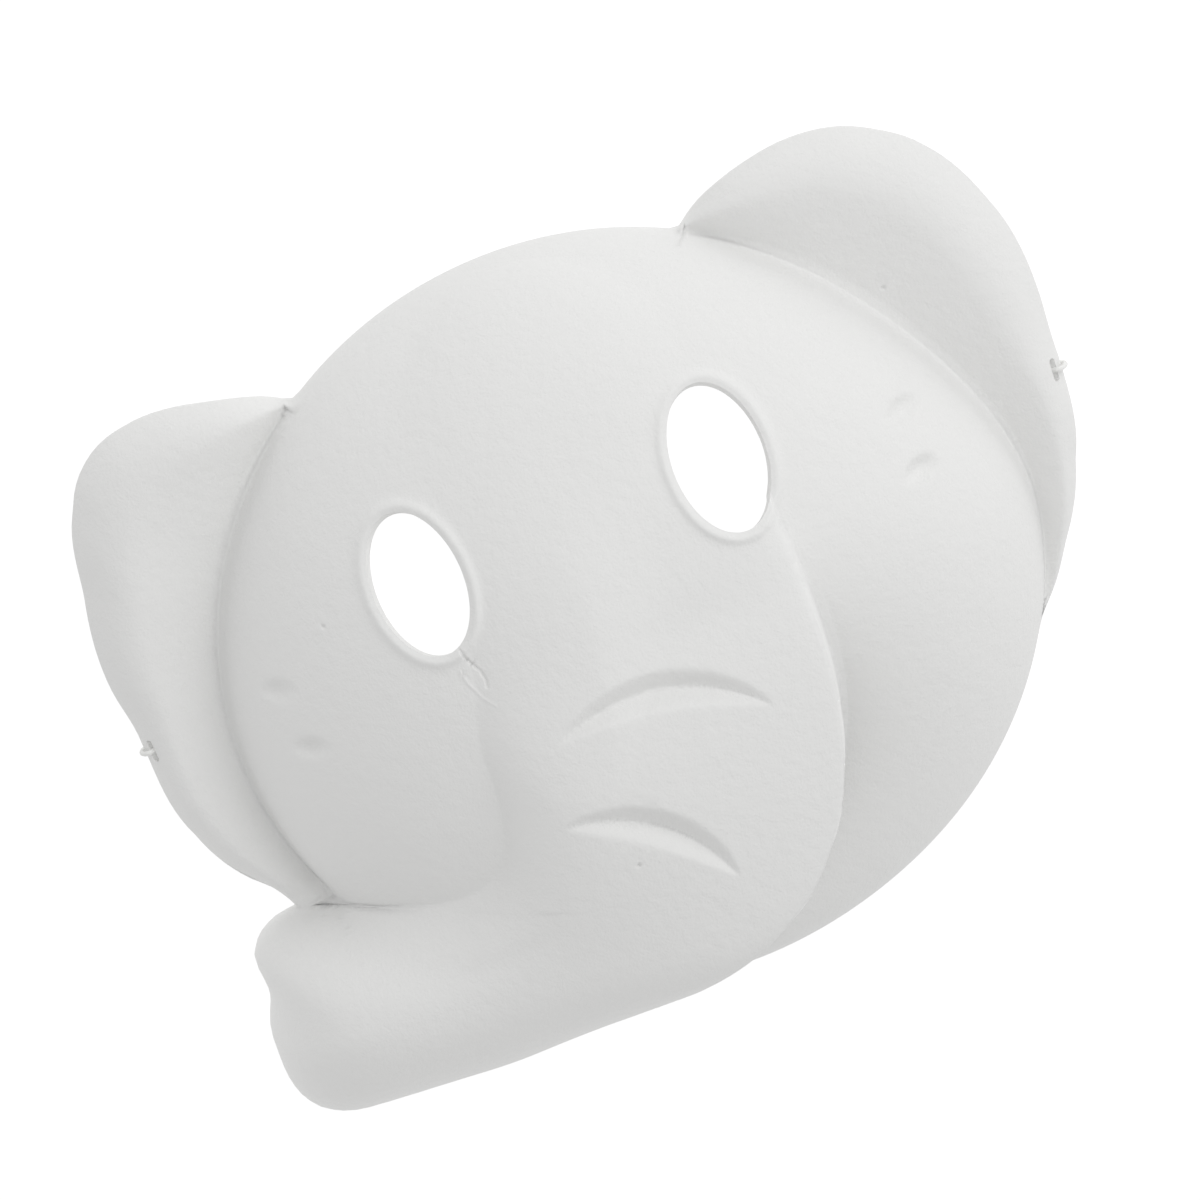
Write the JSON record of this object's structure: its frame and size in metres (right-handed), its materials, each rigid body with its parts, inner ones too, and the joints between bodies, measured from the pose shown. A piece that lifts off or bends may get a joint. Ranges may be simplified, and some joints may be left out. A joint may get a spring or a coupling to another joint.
{
  "type": "elephant face mask with elastic",
  "caption": "Thin hollow face mask of white moulded paper pulp: elephant head with rolled ears, curled trunk, open eye holes, and an elastic cord to hold it on a head.",
  "frame": {"origin": "on the table under the middle of the moulding's box, with the mask lying face up on its rim", "axes": "+X across the ears to the viewer's right, +Y to the forehead, +Z out of the face"},
  "size_m": [0.2244, 0.1712, 0.0702],
  "materials": {
    "pulp": "matt moulded paper pulp, unpainted white",
    "elastic": "thin white covered elastic"
  },
  "bodies": {
    "root": {"mask_shell": "pulp", "elastic_cord": "elastic", "left_tie": "elastic", "right_tie": "elastic"}
  },
  "joints": []
}
